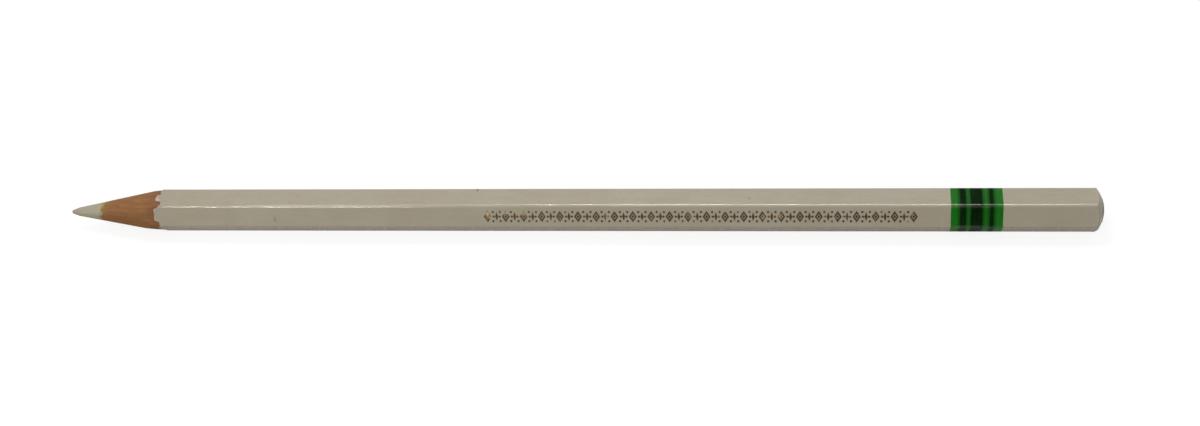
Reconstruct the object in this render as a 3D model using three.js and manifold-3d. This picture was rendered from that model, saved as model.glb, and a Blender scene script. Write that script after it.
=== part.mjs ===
// Hexagonal wooden marking pencil with a white core, sharpened, in millimetres with +Z up.
// It lies along X on one of its flats: the point at -X and the domed, dipped end at +X.
// The casing is two grooved slats glued round the core. Primer, lacquer, the printed band and the
// end dips are thin solids of their own, each seated face to face on the one beneath it. The band
// lies flush in the lacquer, so that every flat is one plane from the paint edge to the dip.
import * as THREE from "three";
import { mergeVertices } from "three/addons/utils/BufferGeometryUtils.js";
import Module from "manifold-3d";

// Overall size over the lacquer
const LENGTH = 175;
const ACROSS_FLATS = 6.6;
const EDGE_RADIUS = 0.5;

// Core, glue and coats
const CORE_DIAMETER = 3.2;
const GLUE_FILM = 0.06;
const PRIMER_COAT = 0.06;
const LACQUER_COAT = 0.11;
const PRINT_FILM = 0.03;

// Sharpened point: the cut leaves the six edges POINT_LENGTH behind the tip. The cut is a little off
// centre, so that the tip stands POINT_LEAN off the axis, in the direction LEAN_TURN round it.
const POINT_LENGTH = 17;
const POINT_ANGLE = 21.6;
const POINT_LEAN = 0.3;
const LEAN_TURN = 220;
const TIP_RADIUS = 0.4;
const WORN_NOSE = 1.3;

// Paint tongues: the lacquer flakes back from the thin cut and leaves one round tongue on each flat
const TONGUE_REACH = 0.75;
const TONGUE_RADIUS = 1.75;
const EDGE_REACH = 0.12;
const PRIMER_SHOWS = 0.3;

// Printed band: its place is counted from the dipped end, and its stripes from its other edge
const BAND_TO_END = 16.2;
const BAND_WIDTH = 8.3;
const TIP_SIDE_STRIPE_START = 1.4;
const TIP_SIDE_STRIPE_WIDTH = 1.1;
const WIDE_STRIPE_START = 3.1;
const WIDE_STRIPE_WIDTH = 2;
const CAP_SIDE_STRIPE_START = 6.1;
const CAP_SIDE_STRIPE_WIDTH = 0.75;

// Dipped end
const DOME_RADIUS = 5.85;
const DIP_COAT = 0.15;
const SPOT_COAT = 0.04;
const SPOT_DIAMETER = 4.4;

// Faceting
const TURN_STEPS = 72;
const BORE_STEPS = 36;
const CORNER_STEPS = 5;
const TIP_STEPS = 5;
const DOME_STEPS = 7;
const TONGUE_STEPS = 24;

// How far a cutting blank stands clear of the pencil
const CLEAR = 0.6;

const FLATS = 6;
const TURN = 2 * Math.PI;
const HALF_SIDE = Math.PI / FLATS;
const CORNER_CENTRE = (ACROSS_FLATS / 2 - EDGE_RADIUS) / Math.cos(HALF_SIDE);
const CORNER_REACH = CORNER_CENTRE + EDGE_RADIUS;
const AXIS_HEIGHT = ACROSS_FLATS / 2;
const CUT_SLOPE = Math.tan(THREE.MathUtils.degToRad(POINT_ANGLE / 2));
const CUT_END = POINT_LENGTH + CLEAR / CUT_SLOPE;
const BAND_FROM_TIP = LENGTH - BAND_TO_END - BAND_WIDTH;

// Depths of the surfaces below the face of the lacquer
const FACE = 0;
const UNDER_STRIPE = PRINT_FILM;
const UNDER_BAND = 2 * PRINT_FILM;
const ON_PRIMER = LACQUER_COAT;
const ON_WOOD = LACQUER_COAT + PRIMER_COAT;

const wasm = await Module();
wasm.setup();

// Booleans on closed three.js geometries
function solidOf(geometry) {
  const bare = geometry.clone();
  bare.deleteAttribute("normal");
  bare.deleteAttribute("uv");
  const merged = mergeVertices(bare, 1e-4);
  return new wasm.Manifold(
    new wasm.Mesh({
      numProp: 3,
      vertProperties: merged.attributes.position.array,
      triVerts: new Uint32Array(merged.index.array),
    }),
  );
}

function geometryOf(solid) {
  const { vertProperties, triVerts } = solid.getMesh();
  const geometry = new THREE.BufferGeometry();
  geometry.setAttribute("position", new THREE.BufferAttribute(vertProperties, 3));
  geometry.setIndex(new THREE.BufferAttribute(triVerts, 1));
  const faceted = geometry.toNonIndexed();
  faceted.computeVertexNormals();
  return faceted;
}

// Outlines lie across the pencil, and stations count along it from the tip.
// The hexagon has rounded edges and lies `depth` below the surface of the lacquer.
function hexagon(depth, Path = THREE.Shape) {
  const outline = new Path();
  for (let corner = 0; corner < FLATS; corner += 1) {
    const angle = (TURN * corner) / FLATS;
    const x = CORNER_CENTRE * Math.cos(angle);
    const y = CORNER_CENTRE * Math.sin(angle);
    outline.absarc(x, y, EDGE_RADIUS - depth, angle - HALF_SIDE, angle + HALF_SIDE, false);
  }
  outline.closePath();
  return outline;
}

function circle(radius) {
  return new THREE.Shape().absarc(0, 0, radius, 0, TURN, false);
}

function bar(outline, from, to, steps) {
  const options = { depth: to - from, bevelEnabled: false, curveSegments: steps };
  return solidOf(new THREE.ExtrudeGeometry(outline, options).translate(0, 0, from));
}

function hexBar(depth, from = 0, to = LENGTH) {
  return bar(hexagon(depth), from, to, CORNER_STEPS);
}

// A coat of paint or ink: the space between two depths
function coat(outerDepth, innerDepth, from, to) {
  const outline = hexagon(outerDepth);
  outline.holes.push(hexagon(innerDepth, THREE.Path));
  return bar(outline, from, to, CORNER_STEPS);
}

function rod(diameter, from = 0, to = LENGTH) {
  return bar(circle(diameter / 2), from, to, BORE_STEPS);
}

// The worn point, from the tip backwards: a small ball, a nose that is tangent to it, and the cone
function pointProfile() {
  const noseRadius = CORNER_REACH - (POINT_LENGTH - WORN_NOSE) * CUT_SLOPE;
  const reach = Math.hypot(WORN_NOSE - TIP_RADIUS, noseRadius);
  const tangent = Math.atan2(noseRadius, WORN_NOSE - TIP_RADIUS) + Math.acos(TIP_RADIUS / reach);
  const profile = [];
  for (let step = 0; step <= TIP_STEPS; step += 1) {
    const angle = Math.PI + ((tangent - Math.PI) * step) / TIP_STEPS;
    const radius = step === 0 ? 0 : TIP_RADIUS * Math.sin(angle);
    profile.push([TIP_RADIUS + TIP_RADIUS * Math.cos(angle), radius]);
  }
  profile.push([WORN_NOSE, noseRadius]);
  profile.push([CUT_END, CORNER_REACH + CLEAR]);
  return profile;
}

// The dome of the dipped end, from its rim to its top, `depth` below the top of the spot
function domeProfile(depth) {
  const radius = DOME_RADIUS - depth;
  const centre = LENGTH - DOME_RADIUS;
  const blank = CORNER_REACH + CLEAR;
  const rim = Math.asin(Math.min(1, blank / radius));
  const profile = [[centre + radius * Math.cos(rim), blank]];
  for (let step = radius < blank ? 0 : 1; step <= DOME_STEPS; step += 1) {
    const angle = rim * (1 - step / DOME_STEPS);
    const fromAxis = step === DOME_STEPS ? 0 : radius * Math.sin(angle);
    profile.push([centre + radius * Math.cos(angle), fromAxis]);
  }
  return profile;
}

// Leans the cut off the axis, fully at the tip and no more where the cut ends
function leanPoint(geometry) {
  const turn = THREE.MathUtils.degToRad(LEAN_TURN);
  const place = geometry.attributes.position;
  for (let index = 0; index < place.count; index += 1) {
    const lean = POINT_LEAN * Math.max(0, 1 - place.getZ(index) / CUT_END);
    place.setX(index, place.getX(index) + lean * Math.cos(turn));
    place.setY(index, place.getY(index) + lean * Math.sin(turn));
  }
  return geometry;
}

// The space that sharpening at one end and rounding at the other leave to the pieces
function sharpenedEnvelope(domeDepth) {
  const profile = [...pointProfile(), ...domeProfile(domeDepth)];
  const outline = profile.map(([station, radius]) => new THREE.Vector2(radius, station));
  const space = new THREE.LatheGeometry(outline, TURN_STEPS).rotateX(Math.PI / 2);
  return solidOf(leanPoint(space));
}

// What flaking leaves of a coat: a sleeve up to the edges, with a round tongue along each flat
function flakedFront(reach) {
  const front = POINT_LENGTH - reach;
  let left = hexBar(-CLEAR, POINT_LENGTH - EDGE_REACH - (reach - TONGUE_REACH), LENGTH);
  for (let flat = 0; flat < FLATS; flat += 1) {
    const tongue = new THREE.CylinderGeometry(
      TONGUE_RADIUS,
      TONGUE_RADIUS,
      CORNER_REACH + CLEAR,
      TONGUE_STEPS,
    );
    tongue.translate(0, (CORNER_REACH + CLEAR) / 2, 0);
    tongue.rotateZ((TURN * flat) / FLATS);
    tongue.translate(0, 0, front + TONGUE_RADIUS);
    left = left.add(solidOf(tongue));
  }
  return left;
}

// Where each black stripe starts on the band, and its width
const TIP_SIDE_STRIPE = [TIP_SIDE_STRIPE_START, TIP_SIDE_STRIPE_WIDTH];
const WIDE_STRIPE = [WIDE_STRIPE_START, WIDE_STRIPE_WIDTH];
const CAP_SIDE_STRIPE = [CAP_SIDE_STRIPE_START, CAP_SIDE_STRIPE_WIDTH];
const STRIPES = [TIP_SIDE_STRIPE, WIDE_STRIPE, CAP_SIDE_STRIPE];

const casingSpace = sharpenedEnvelope(SPOT_COAT + DIP_COAT);
const dippedSpace = sharpenedEnvelope(SPOT_COAT);
const spottedSpace = sharpenedEnvelope(0);

function colourCore() {
  return rod(CORE_DIAMETER).intersect(casingSpace);
}

// Two wings along the seam and a sleeve round the core
function glueSpace() {
  const span = 2 * (CORNER_REACH + CLEAR);
  const seam = new THREE.BoxGeometry(span, GLUE_FILM, LENGTH).translate(0, 0, LENGTH / 2);
  return solidOf(seam).add(rod(CORE_DIAMETER + 2 * GLUE_FILM));
}

function glueFilm() {
  return glueSpace().intersect(hexBar(ON_WOOD)).subtract(rod(CORE_DIAMETER)).intersect(casingSpace);
}

// One grooved half of the casing, above or below the seam
function slat(side) {
  const span = 2 * (CORNER_REACH + CLEAR);
  const half = new THREE.BoxGeometry(span, span, LENGTH).translate(0, (side * span) / 2, LENGTH / 2);
  return hexBar(ON_WOOD).subtract(glueSpace()).intersect(solidOf(half)).intersect(casingSpace);
}

function primerCoat() {
  const reach = TONGUE_REACH + PRIMER_SHOWS;
  return coat(ON_PRIMER, ON_WOOD, 0, LENGTH).intersect(flakedFront(reach)).intersect(casingSpace);
}

function lacquerCoat() {
  const whole = coat(FACE, ON_PRIMER, 0, LENGTH);
  const bandSeat = coat(-CLEAR, UNDER_BAND, BAND_FROM_TIP, BAND_FROM_TIP + BAND_WIDTH);
  return whole.subtract(bandSeat).intersect(flakedFront(TONGUE_REACH)).intersect(casingSpace);
}

// The band, with a seat for each black stripe
function greenBand() {
  let band = coat(FACE, UNDER_BAND, BAND_FROM_TIP, BAND_FROM_TIP + BAND_WIDTH);
  for (const [start, width] of STRIPES) {
    const from = BAND_FROM_TIP + start;
    band = band.subtract(coat(-CLEAR, UNDER_STRIPE, from, from + width));
  }
  return band;
}

function blackStripe([start, width]) {
  const from = BAND_FROM_TIP + start;
  return coat(FACE, UNDER_STRIPE, from, from + width);
}

function endDip() {
  const blank = hexBar(FACE, LENGTH - DOME_RADIUS, LENGTH);
  return blank.intersect(dippedSpace).subtract(casingSpace);
}

function endSpot() {
  const blank = rod(SPOT_DIAMETER, LENGTH - DOME_RADIUS, LENGTH);
  return blank.intersect(spottedSpace).subtract(dippedSpace);
}

const WOOD = { color: 0x9a7048, roughness: 0.72, metalness: 0 };
const WHITE_WAX = { color: 0xb9b6a4, roughness: 0.55, metalness: 0 };
const DRIED_GLUE = { color: 0xa08a52, roughness: 0.5, metalness: 0 };
const PALE_PRIMER = { color: 0xc9b3a6, roughness: 0.6, metalness: 0 };
const WHITE_LACQUER = { color: 0xb7b09c, roughness: 0.22, metalness: 0 };
const GREEN_INK = { color: 0x1b6418, roughness: 0.3, metalness: 0 };
const BLACK_INK = { color: 0x131a0f, roughness: 0.3, metalness: 0 };
const WHITE_DIP = { color: 0xb3ad9b, roughness: 0.3, metalness: 0 };
const DARK_DIP = { color: 0x3a3a36, roughness: 0.35, metalness: 0 };

// Turns the axis of the pencil from Z to X without rounding, and sets a flat down on Z = 0
const pencil = new THREE.Group();
pencil.quaternion.set(0.5, 0.5, 0.5, 0.5);
pencil.position.set(-LENGTH / 2, 0, AXIS_HEIGHT);

function addPiece(name, solid, look) {
  const mesh = new THREE.Mesh(geometryOf(solid), new THREE.MeshStandardMaterial(look));
  mesh.name = name;
  pencil.add(mesh);
}

addPiece("colour_core", colourCore(), WHITE_WAX);
addPiece("glue_film", glueFilm(), DRIED_GLUE);
addPiece("upper_slat", slat(1), WOOD);
addPiece("lower_slat", slat(-1), WOOD);
addPiece("primer_coat", primerCoat(), PALE_PRIMER);
addPiece("lacquer_coat", lacquerCoat(), WHITE_LACQUER);
addPiece("green_band", greenBand(), GREEN_INK);
addPiece("narrow_black_stripe_tip_side", blackStripe(TIP_SIDE_STRIPE), BLACK_INK);
addPiece("wide_black_stripe", blackStripe(WIDE_STRIPE), BLACK_INK);
addPiece("narrow_black_stripe_cap_side", blackStripe(CAP_SIDE_STRIPE), BLACK_INK);
addPiece("end_dip", endDip(), WHITE_DIP);
addPiece("end_spot", endSpot(), DARK_DIP);

const part = new THREE.Group();
part.add(pencil);

export default part;
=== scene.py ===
import inspect
import math

import bmesh
import bpy
import numpy as np
from bpy.props import FloatProperty, FloatVectorProperty, IntProperty, PointerProperty
from mathutils import Matrix, Vector, noise


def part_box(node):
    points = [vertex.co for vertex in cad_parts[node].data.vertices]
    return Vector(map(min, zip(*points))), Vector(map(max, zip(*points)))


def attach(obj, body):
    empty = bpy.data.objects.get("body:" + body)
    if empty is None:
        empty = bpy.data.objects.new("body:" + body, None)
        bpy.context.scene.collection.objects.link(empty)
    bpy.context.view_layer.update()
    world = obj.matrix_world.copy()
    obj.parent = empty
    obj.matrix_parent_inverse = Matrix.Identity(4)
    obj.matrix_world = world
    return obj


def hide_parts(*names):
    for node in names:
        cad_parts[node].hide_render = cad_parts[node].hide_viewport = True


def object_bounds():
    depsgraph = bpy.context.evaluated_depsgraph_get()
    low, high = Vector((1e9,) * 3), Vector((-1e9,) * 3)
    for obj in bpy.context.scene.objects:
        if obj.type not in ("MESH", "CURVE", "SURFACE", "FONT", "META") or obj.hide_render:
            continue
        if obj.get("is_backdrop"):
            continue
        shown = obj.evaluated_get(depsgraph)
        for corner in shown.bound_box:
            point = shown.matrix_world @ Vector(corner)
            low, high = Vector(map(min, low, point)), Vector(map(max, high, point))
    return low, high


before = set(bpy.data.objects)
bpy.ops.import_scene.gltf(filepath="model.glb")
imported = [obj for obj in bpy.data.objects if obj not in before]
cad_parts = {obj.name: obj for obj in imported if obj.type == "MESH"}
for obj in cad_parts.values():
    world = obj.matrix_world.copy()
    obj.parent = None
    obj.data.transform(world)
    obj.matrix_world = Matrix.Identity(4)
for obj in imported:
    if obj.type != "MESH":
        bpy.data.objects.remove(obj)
CAD_LOW, CAD_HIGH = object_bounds()

bl_info = {
    "name": "Hexagonal Marking Pencil",
    "version": (1, 0, 0),
    "blender": (4, 5, 0),
    "location": "3D View > Sidebar > Pencil",
    "description": "Dresses a sharpened hexagonal wooden pencil with a white core and a dipped end",
    "category": "Add Mesh",
}

# Sizes that are measured on the solids

CORE_LOW, CORE_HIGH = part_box("colour_core")
LACQUER_LOW, LACQUER_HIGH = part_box("lacquer_coat")
BAND_LOW, BAND_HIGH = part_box("green_band")
SPOT_LOW, SPOT_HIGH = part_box("end_spot")
STRIPES = (
    "narrow_black_stripe_tip_side",
    "wide_black_stripe",
    "narrow_black_stripe_cap_side",
)

# Units, angles and plain colours

MM = 0.001
SIXTH = math.pi / 3
TWELFTH = math.pi / 6
COS_30 = math.cos(TWELFTH)
WHITE = (1.0, 1.0, 1.0)
WARM_WHITE = (1.0, 0.98, 0.95)


def screen(red, green, blue):
    """A colour as a screen shows it, from 0 to 255, turned into the linear one that Blender mixes."""
    shares = (value / 255 for value in (red, green, blue))
    return tuple(s / 12.92 if s <= 0.04045 else ((s + 0.055) / 1.055) ** 2.4 for s in shares)


# What a user may change


def length_setting(name, description, default, low=0.0):
    return FloatProperty(
        name=name,
        description=description,
        default=default,
        min=low,
        precision=6,
        subtype="DISTANCE",
        unit="LENGTH",
    )


def angle_setting(name, description, degrees):
    return FloatProperty(
        name=name,
        description=description,
        default=math.radians(degrees),
        subtype="ANGLE",
        unit="ROTATION",
    )


def power_setting(name, description, default):
    return FloatProperty(name=name, description=description, default=default, unit="POWER")


def colour_setting(name, description, red, green, blue):
    return FloatVectorProperty(
        name=name,
        description=description,
        default=screen(red, green, blue),
        min=0.0,
        max=1.0,
        size=3,
        subtype="COLOR",
    )


class PencilSizes(bpy.types.PropertyGroup):
    """Sizes of the pencil, most of them measured on its solids."""

    length: length_setting("Length", "From the point to the top of the dome", SPOT_HIGH.x - CORE_LOW.x)
    tip_x: length_setting("Tip X", "Where the point lies", CORE_LOW.x, -1.0)
    axis_height: length_setting(
        "Axis Height", "Height of the axis over the floor", (CORE_LOW.z + CORE_HIGH.z) / 2
    )
    across_flats: length_setting(
        "Across Flats", "Between two opposite flats", LACQUER_HIGH.z - LACQUER_LOW.z
    )
    edge_radius: length_setting("Edge Radius", "Rounding of the six edges", 0.5 * MM)
    core_diameter: length_setting("Core Diameter", "Diameter of the white core", CORE_HIGH.z - CORE_LOW.z)
    glue_film: length_setting("Glue Film", "Thickness of the dried glue", 0.06 * MM)
    lacquer_coat: length_setting("Lacquer Coat", "Thickness of the lacquer", 0.11 * MM)
    primer_coat: length_setting("Primer Coat", "Thickness of the undercoat", 0.06 * MM)
    print_film: length_setting("Print Film", "Thickness of one printed ring", 0.03 * MM)
    point_length: length_setting("Point Length", "From the tip to the cut edges", 17 * MM)
    point_angle: angle_setting("Point Angle", "Full angle of the sharpened cone", 21.6)
    point_lean: length_setting("Point Lean", "How far the tip stands off the axis", 0.3 * MM)
    lean_turn: angle_setting("Lean Turn", "Direction of the lean round the axis", 220)
    cut_end: length_setting("Cut End", "From the tip to where the cut no longer leans", 20.15 * MM)
    tip_radius: length_setting("Tip Radius", "Rounding of the worn tip", 0.4 * MM)
    worn_nose: length_setting("Worn Nose", "Where the worn nose meets the cone", 1.3 * MM)
    dome_radius: length_setting("Dome Radius", "Radius of the dipped dome", 5.85 * MM)
    dip_coat: length_setting("Dip Coat", "Thickness of the dipped coat", 0.15 * MM)
    spot_coat: length_setting("Spot Coat", "Thickness of the dark second dip", 0.04 * MM)
    spot_diameter: length_setting(
        "Spot Diameter", "Diameter of the dark second dip", SPOT_HIGH.z - SPOT_LOW.z
    )
    seed: IntProperty(name="Seed", description="Picks the random chips and wavers", default=7)


class PencilColours(bpy.types.PropertyGroup):
    """Colours of the pencil's finishes."""

    lacquer: colour_setting("Lacquer", "White lacquer in the light", 176, 168, 150)
    lacquer_warm: colour_setting("Lacquer Warm", "Yellower patches of the lacquer", 172, 164, 143)
    grime: colour_setting("Grime", "Handling marks on the edges", 128, 117, 96)
    primer: colour_setting("Primer", "Pale undercoat", 206, 184, 172)
    wood_light: colour_setting("Light Wood", "Early wood", 147, 102, 58)
    wood_dark: colour_setting("Dark Wood", "Late wood lines", 108, 70, 36)
    core: colour_setting("Core", "White wax and pigment", 170, 165, 144)
    glue: colour_setting("Glue", "Dried glue", 148, 126, 66)
    green: colour_setting("Green Ink", "Printed green", 21, 110, 19)
    black: colour_setting("Black Ink", "Printed black over the green", 5, 19, 4)
    dip: colour_setting("Dip", "Cream dip on the end", 170, 165, 145)
    spot: colour_setting("Spot", "Dark second dip", 36, 34, 30)
    # The foil's colours are painted reflection: the dark one stands for dark surroundings mirrored in the
    # metal, the light one for painted glints
    foil_dark: colour_setting("Dark Foil", "Stamped foil away from the light", 50, 37, 20)
    foil_light: colour_setting("Light Foil", "Stamped foil where it glints", 176, 150, 94)
    floor: colour_setting("Floor", "Pale floor", 150, 143, 131)


class OrnamentSettings(bpy.types.PropertyGroup):
    """Sizes of the stamped ornament on the upper front flat."""

    start: length_setting("Start", "Where the row begins along the pencil", -13.15 * MM, -1.0)
    count: IntProperty(name="Count", description="How many lozenges", default=24, min=1)
    pitch: length_setting("Pitch", "From one lozenge to the next", 3.054 * MM)
    height: length_setting("Height", "Height of a lozenge", 2.0 * MM)
    line: length_setting("Line", "Width of the stamped lines", 0.27 * MM)
    raised: length_setting("Raised", "How far the foil stands over the lacquer", 0.012 * MM)


class StageSettings(bpy.types.PropertyGroup):
    """Lights, background and camera."""

    sky: FloatProperty(name="Sky", description="Strength of the even light", default=0.5)
    overhead: power_setting("Overhead", "Power of the lamp above", 1.0)
    left: power_setting("Left", "Power of the lamp at the front left", 0.9)
    shine: power_setting("Shine", "Power of the lamps for the gloss", 1.9)
    distance: length_setting("Camera Distance", "From the camera to the pencil", 293 * MM)
    turn: angle_setting("Turn", "How far the camera stands round to the dipped end", 7.47)
    lift: angle_setting("Lift", "How far the camera stands over the floor", 49.62)


# Nodes

FLOAT = "NodeSocketFloat"
COUNT = "NodeSocketInt"
ARROW = "NodeSocketVector"
SHAPE = "NodeSocketGeometry"
FINISH = "NodeSocketMaterial"
OUTPUT_KINDS = {"VALUE": FLOAT, "GEOMETRY": SHAPE}
NODES_IN_ROW = 14


class Signal:
    """A value running through a node tree. A formula with it adds the Math nodes it needs."""

    def __init__(self, bench, socket):
        self.bench = bench
        self.socket = socket

    def __add__(self, other):
        return self.bench.math("ADD", self, other)

    def __sub__(self, other):
        return self.bench.math("SUBTRACT", self, other)

    def __rsub__(self, other):
        return self.bench.math("SUBTRACT", other, self)

    def __mul__(self, other):
        return self.bench.math("MULTIPLY", self, other)

    def __truediv__(self, other):
        return self.bench.math("DIVIDE", self, other)

    def __rtruediv__(self, other):
        return self.bench.math("DIVIDE", other, self)

    __radd__ = __add__
    __rmul__ = __mul__


def title(name):
    """The name of a socket for a keyword: peel_size is the socket Peel Size."""
    return name.replace("_", " ").title()


class Bench:
    """Adds nodes to one tree, wires them and sets them out in rows."""

    def __init__(self, tree):
        self.tree = tree

    def add(self, kind, inputs=None, **settings):
        node = self.tree.nodes.new(kind)
        count = len(self.tree.nodes)
        row, column = divmod(count, NODES_IN_ROW)
        node.location = (220 * column, -300 * row)
        for name, value in settings.items():
            setattr(node, name, value)
        for key, value in (inputs or {}).items():
            self.feed(node.inputs[key], value)
        return node

    def feed(self, socket, value):
        if isinstance(value, Signal):
            self.tree.links.new(value.socket, socket)
        elif socket.type == "RGBA":
            socket.default_value = (*value, 1.0)
        else:
            socket.default_value = value

    def out(self, node, name=0):
        return Signal(self, node.outputs[name])

    def made(self, kind, inputs=None, **settings):
        """The first output of a new node."""
        return self.out(self.add(kind, inputs, **settings))

    def math(self, operation, *values):
        return self.made("ShaderNodeMath", dict(enumerate(values)), operation=operation)

    def mix(self, share, low, high):
        """Between two numbers."""
        return self.made("ShaderNodeMix", {0: share, 2: low, 3: high})

    def blend(self, share, low, high):
        """Between two colours."""
        node = self.add("ShaderNodeMix", {0: share, 6: low, 7: high}, data_type="RGBA")
        return self.out(node, 2)

    def ramp(self, value, start, end, low=0.0, high=1.0):
        """Low up to start, high from end on, and a smooth rise between them."""
        inputs = {0: value, 1: start, 2: end, 3: low, 4: high}
        return self.made("ShaderNodeMapRange", inputs, interpolation_type="SMOOTHSTEP")

    def split(self, vector):
        node = self.add("ShaderNodeSeparateXYZ", {0: vector})
        return [self.out(node, axis) for axis in "XYZ"]

    def join(self, x, y, z):
        return self.made("ShaderNodeCombineXYZ", {0: x, 1: y, 2: z})

    def stretch(self, vector, scale, offset=(0.0, 0.0, 0.0)):
        inputs = {0: vector, 1: scale, 2: offset}
        return self.made("ShaderNodeVectorMath", inputs, operation="MULTIPLY_ADD")

    def grain(self, vector, scale, detail=2.0, roughness=0.5, distortion=0.0):
        """Cloudy noise from 0 to 1."""
        inputs = {"Vector": vector, "Scale": scale, "Detail": detail, "Roughness": roughness}
        return self.made("ShaderNodeTexNoise", {**inputs, "Distortion": distortion})

    def cells(self, vector, scale):
        """How far a place is from the middle of its cell in a random net, and the cell's own chances."""
        net = self.add("ShaderNodeTexVoronoi", {"Vector": vector, "Scale": scale})
        return self.out(net, "Distance"), self.split(self.out(net, "Color"))

    def clamp(self, value):
        return self.made("ShaderNodeClamp", {0: value})

    def group(self, find_tree, **inputs):
        """Places a group with these inputs and gives its outputs by name."""
        tree = find_tree()
        kind = "GeometryNodeGroup" if tree.bl_idname == "GeometryNodeTree" else "ShaderNodeGroup"
        inputs = {title(name): value for name, value in inputs.items()}
        node = self.add(kind, inputs, node_tree=tree)
        return {socket.name: Signal(self, socket) for socket in node.outputs}

    def gather(self, shapes):
        """Joins several geometries into one."""
        joined = self.add("GeometryNodeJoinGeometry")
        for shape in shapes:
            self.feed(joined.inputs[0], shape)
        return self.out(joined)

    def plain(self, geometry, material):
        """How a tree of geometry ends: as one real mesh with its material."""
        real = self.made("GeometryNodeRealizeInstances", {"Geometry": geometry})
        return self.made("GeometryNodeSetMaterial", {"Geometry": real, "Material": material})


def fill_group(tree, build):
    """Gives an empty group the function's parameters as inputs and what it returns as outputs."""
    bench = Bench(tree)
    parameters = list(inspect.signature(build).parameters.values())[1:]
    for parameter in parameters:
        default = parameter.default
        named_kind = default if isinstance(default, str) else None
        number_kind = COUNT if isinstance(default, int) else FLOAT
        item = tree.interface.new_socket(
            title(parameter.name), in_out="INPUT", socket_type=named_kind or number_kind
        )
        if not named_kind:
            item.default_value = default
    entry = bench.add("NodeGroupInput")
    given = {item.name: bench.out(entry, title(item.name)) for item in parameters}
    results = build(bench, **given)
    for label, signal in results.items():
        kind = OUTPUT_KINDS[signal.socket.type]
        tree.interface.new_socket(label, in_out="OUTPUT", socket_type=kind)
    bench.add("NodeGroupOutput", results)


def node_group(name, kind="ShaderNodeTree"):
    """The wrapped function makes a node group the first time, and later calls find it again."""

    def wrap(build):
        def find():
            if name not in bpy.data.node_groups:
                fill_group(bpy.data.node_groups.new(name, kind), build)
            return bpy.data.node_groups[name]

        return find

    return wrap


# Shared effects for the materials. Their places are in millimetres: X from the tip, Y and Z from
# the axis of the pencil.


@node_group("Paint Skin")
def paint_skin(bench, place=ARROW, peel_size=1.2, mottle_size=8.0):
    """Uneven tone, the orange peel of a sprayed or dipped coat, and haze."""
    mottle = bench.grain(place, 1.0 / mottle_size, 4.0, 0.6)
    peel = bench.grain(bench.stretch(place, (0.45, 1.0, 1.0)), 1.0 / peel_size, 2.0, 0.45)
    haze = bench.grain(bench.stretch(place, (0.3, 1.0, 1.0), (3.1, 0.0, 0.0)), 0.9, 6.0, 0.7)
    return {
        "Mottle": bench.ramp(mottle, 0.32, 0.68),
        "Peel": peel,
        "Haze": bench.ramp(haze, 0.38, 0.72),
    }


@node_group("Rubbed Edges")
def rubbed_edges(bench, place=ARROW, flat_reach=3.3, corner_reach=3.73, patchiness=0.5):
    """The six rounded edges, and the broken patches on them that hands and other pencils rub."""
    _, y, z = bench.split(place)
    reach = bench.math("SQRT", y * y + z * z)
    edge = bench.ramp(reach, bench.mix(0.62, flat_reach, corner_reach), corner_reach)
    patches = bench.grain(bench.stretch(place, (0.22, 0.9, 0.9)), 1.0, 5.0, 0.65)
    low = bench.mix(patchiness, 0.0, 0.6)
    return {"Mask": edge * bench.ramp(patches, low, low + 0.25), "Edge": edge}


@node_group("Specks")
def specks(bench, place=ARROW, cell=1.5, speck=0.08, share=0.3):
    """Small grains of dust or pigment, in some of the cells of a random net."""
    distance, chances = bench.cells(place, 1.0 / cell)
    radius = speck * (chances[1] * 0.8 + 0.3)
    wobble = bench.grain(place, 9.0, 2.0) * 0.6 + 0.7
    inside = bench.ramp(distance * cell * wobble, radius * 0.55, radius, 1.0, 0.0)
    return {"Mask": inside * bench.math("LESS_THAN", chances[0], share)}


@node_group("Scuffs")
def scuffs(bench, place=ARROW, length=6.0, width=0.06, share=0.3):
    """Fine scratches along the pencil, which fade in and out."""
    x, y, z = bench.split(place)
    drawn = bench.join(x / length, y / width * 0.25, z / width * 0.25)
    lines = bench.grain(drawn, 1.0, 1.5, 0.5, 0.15)
    where = bench.grain(bench.stretch(place, (0.12, 0.5, 0.5), (8.0, 2.0, 1.0)), 1.0, 3.0)
    allowed = bench.ramp(where, 1.0 - share, 1.15 - share)
    return {"Mask": bench.ramp(lines, 0.66, 0.74) * allowed}


@node_group("Ragged Ramp")
def ragged_ramp(bench, place=ARROW, start=0.0, end=1.0, ragged=0.3):
    """Rises from 0 to 1 along the pencil between two stations, with a ragged front."""
    x, _, _ = bench.split(place)
    coarse = bench.grain(bench.stretch(place, (0.35, 1.0, 1.0)), 1.3, 3.0, 0.6)
    fine = bench.grain(bench.stretch(place, (0.5, 1.0, 1.0)), 7.0, 3.0, 0.6)
    shift = ((coarse - 0.5) * 2.4 + (fine - 0.5) * 0.9) * ragged
    return {"Mask": bench.ramp(x + shift, start, end)}


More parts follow.
